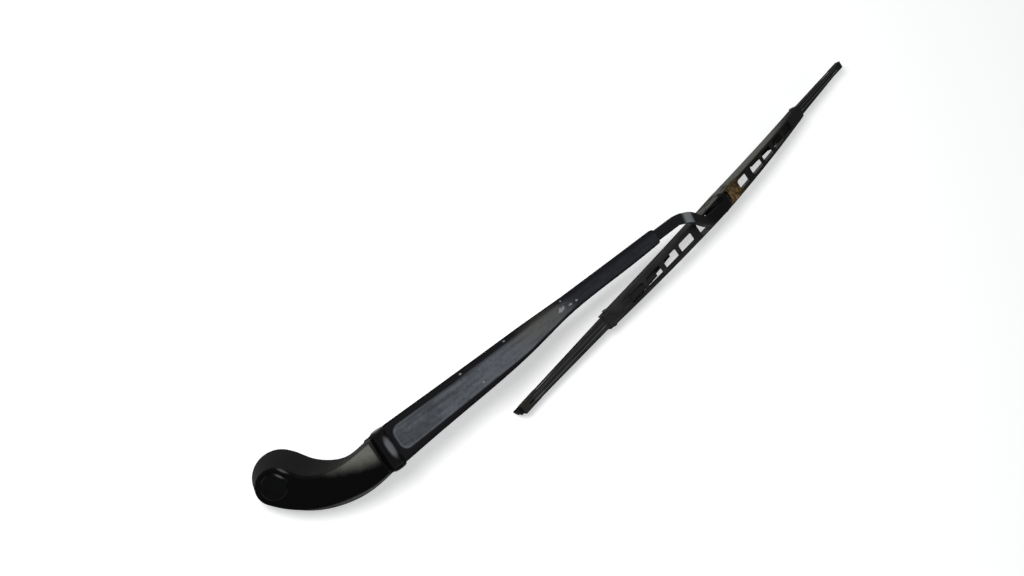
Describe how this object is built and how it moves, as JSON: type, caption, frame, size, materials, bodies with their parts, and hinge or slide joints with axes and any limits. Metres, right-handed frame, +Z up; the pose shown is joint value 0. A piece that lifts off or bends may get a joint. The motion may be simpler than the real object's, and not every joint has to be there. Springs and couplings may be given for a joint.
{
  "type": "wiper arm",
  "caption": "Car wiper arm with cast spindle head, spring-loaded tapered channel, flat hooked rod and a bow-type wiper blade with hinged levers and a rubber strip.",
  "frame": {"origin": "centre of the spindle bore on the head's seat", "axes": "+X along the arm towards the blade, +Y to the arm's left, +Z up from the arm's top face; the head leans back by 20 degrees, so the spindle leaves along (0.342, 0, -0.940)"},
  "size_m": [0.6583, 0.0807, 0.0504],
  "materials": {
    "head_paint": "satin black paint, dusty and worn",
    "arm_paint": "black paint with a grey dusty sheen",
    "yoke_paint": "black paint, flaking, with a rust patch",
    "black_plastic": "moulded black plastic",
    "blade_rubber": "aged black rubber",
    "plain_steel": "plain steel, dulled"
  },
  "bodies": {
    "head": {"arm_head": "head_paint", "nut_cap": "black_plastic", "spring_pin": "plain_steel"},
    "arm": {"arm_channel": "arm_paint", "hinge_pin": "plain_steel", "arm_rod": "arm_paint", "tension_spring": "plain_steel", "adapter_clip": "black_plastic"},
    "link": {"spring_link": "plain_steel"},
    "blade": {"main_yoke": "yoke_paint", "pivot_pin": "plain_steel", "lever_rivet_near": "plain_steel", "lever_rivet_far": "plain_steel", "wiper_rubber": "blade_rubber", "flexor_strip_left": "plain_steel", "flexor_strip_right": "plain_steel"},
    "near_lever": {"secondary_lever_near": "yoke_paint", "lever_bush_near": "black_plastic", "claw_rivet_near": "plain_steel"},
    "far_lever": {"secondary_lever_far": "yoke_paint", "lever_bush_far": "black_plastic", "claw_rivet_far": "plain_steel"},
    "near_claws": {"claw_yoke_near": "yoke_paint"},
    "far_claws": {"claw_yoke_far": "yoke_paint"}
  },
  "joints": [
    {"name": "arm_lift", "type": "hinge", "parent": "head", "child": "arm", "pos_m": [0.05381, -0.0195, 0.03927], "axis": [0, -1, 0], "range_deg": [0, 85], "deforming": ["tension_spring"]},
    {"name": "link_swing", "type": "hinge", "parent": "head", "child": "link", "pos_m": [0.05424, -0.0195, 0.02932], "axis": [0, -1, 0], "range_deg": [0, 80]},
    {"name": "blade_pivot", "type": "hinge", "parent": "arm", "child": "blade", "pos_m": [0.39631, -0.0275, 0.01907], "axis": [-0.1381, 0.9829, 0.1219], "range_deg": [-12, 4]},
    {"name": "near_lever_pivot", "type": "hinge", "parent": "blade", "child": "near_lever", "pos_m": [0.25057, -0.04675, 0.00915], "axis": [-0.1381, 0.9829, 0.1219], "range_deg": [-3, 3], "deforming": ["wiper_rubber", "flexor_strip_left", "flexor_strip_right"]},
    {"name": "far_lever_pivot", "type": "hinge", "parent": "blade", "child": "far_lever", "pos_m": [0.54171, -0.00583, 0.00915], "axis": [-0.1381, 0.9829, 0.1219], "range_deg": [-3, 3]},
    {"name": "near_claws_pivot", "type": "hinge", "parent": "near_lever", "child": "near_claws", "pos_m": [0.29911, -0.04002, 0.00984], "axis": [-0.1381, 0.9829, 0.1219], "range_deg": [-3, 3]},
    {"name": "far_claws_pivot", "type": "hinge", "parent": "far_lever", "child": "far_claws", "pos_m": [0.4932, -0.01274, 0.00984], "axis": [-0.1381, 0.9829, 0.1219], "range_deg": [-3, 3]}
  ],
  "couplings": [
    {"joint": "link_swing", "follows": "arm_lift", "ratio": 0.94}
  ]
}
